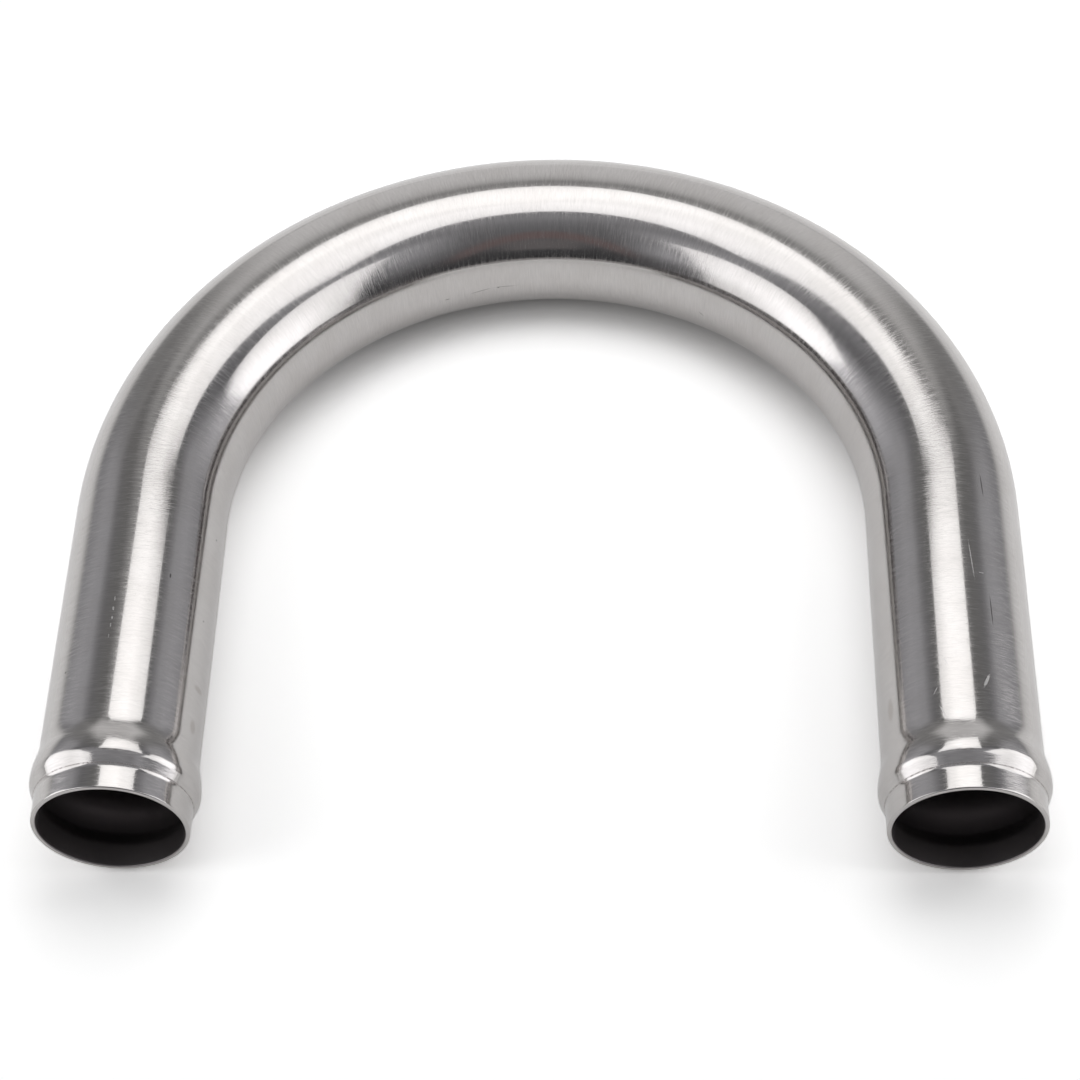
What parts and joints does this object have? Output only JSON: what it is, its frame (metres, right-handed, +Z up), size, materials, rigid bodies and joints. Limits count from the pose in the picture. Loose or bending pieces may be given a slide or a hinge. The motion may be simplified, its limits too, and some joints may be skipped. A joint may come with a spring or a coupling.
{
  "type": "return bend",
  "caption": "Stainless tube bent back through a half turn, with straight legs and a rolled bead near each open mouth to hold a clamped hose.",
  "frame": {"origin": "middle of the footprint, on the surface that the beads touch", "axes": "-Y out of both mouths, +Y towards the middle of the bend, X across from leg to leg, Z up with the bend lying flat"},
  "size_m": [0.16, 0.14, 0.027],
  "materials": {
    "satin_stainless": "satin stainless steel, polished round the tube, with fine hairlines and a few scratches"
  },
  "bodies": {
    "root": {"return_bend": "satin_stainless"}
  },
  "joints": []
}
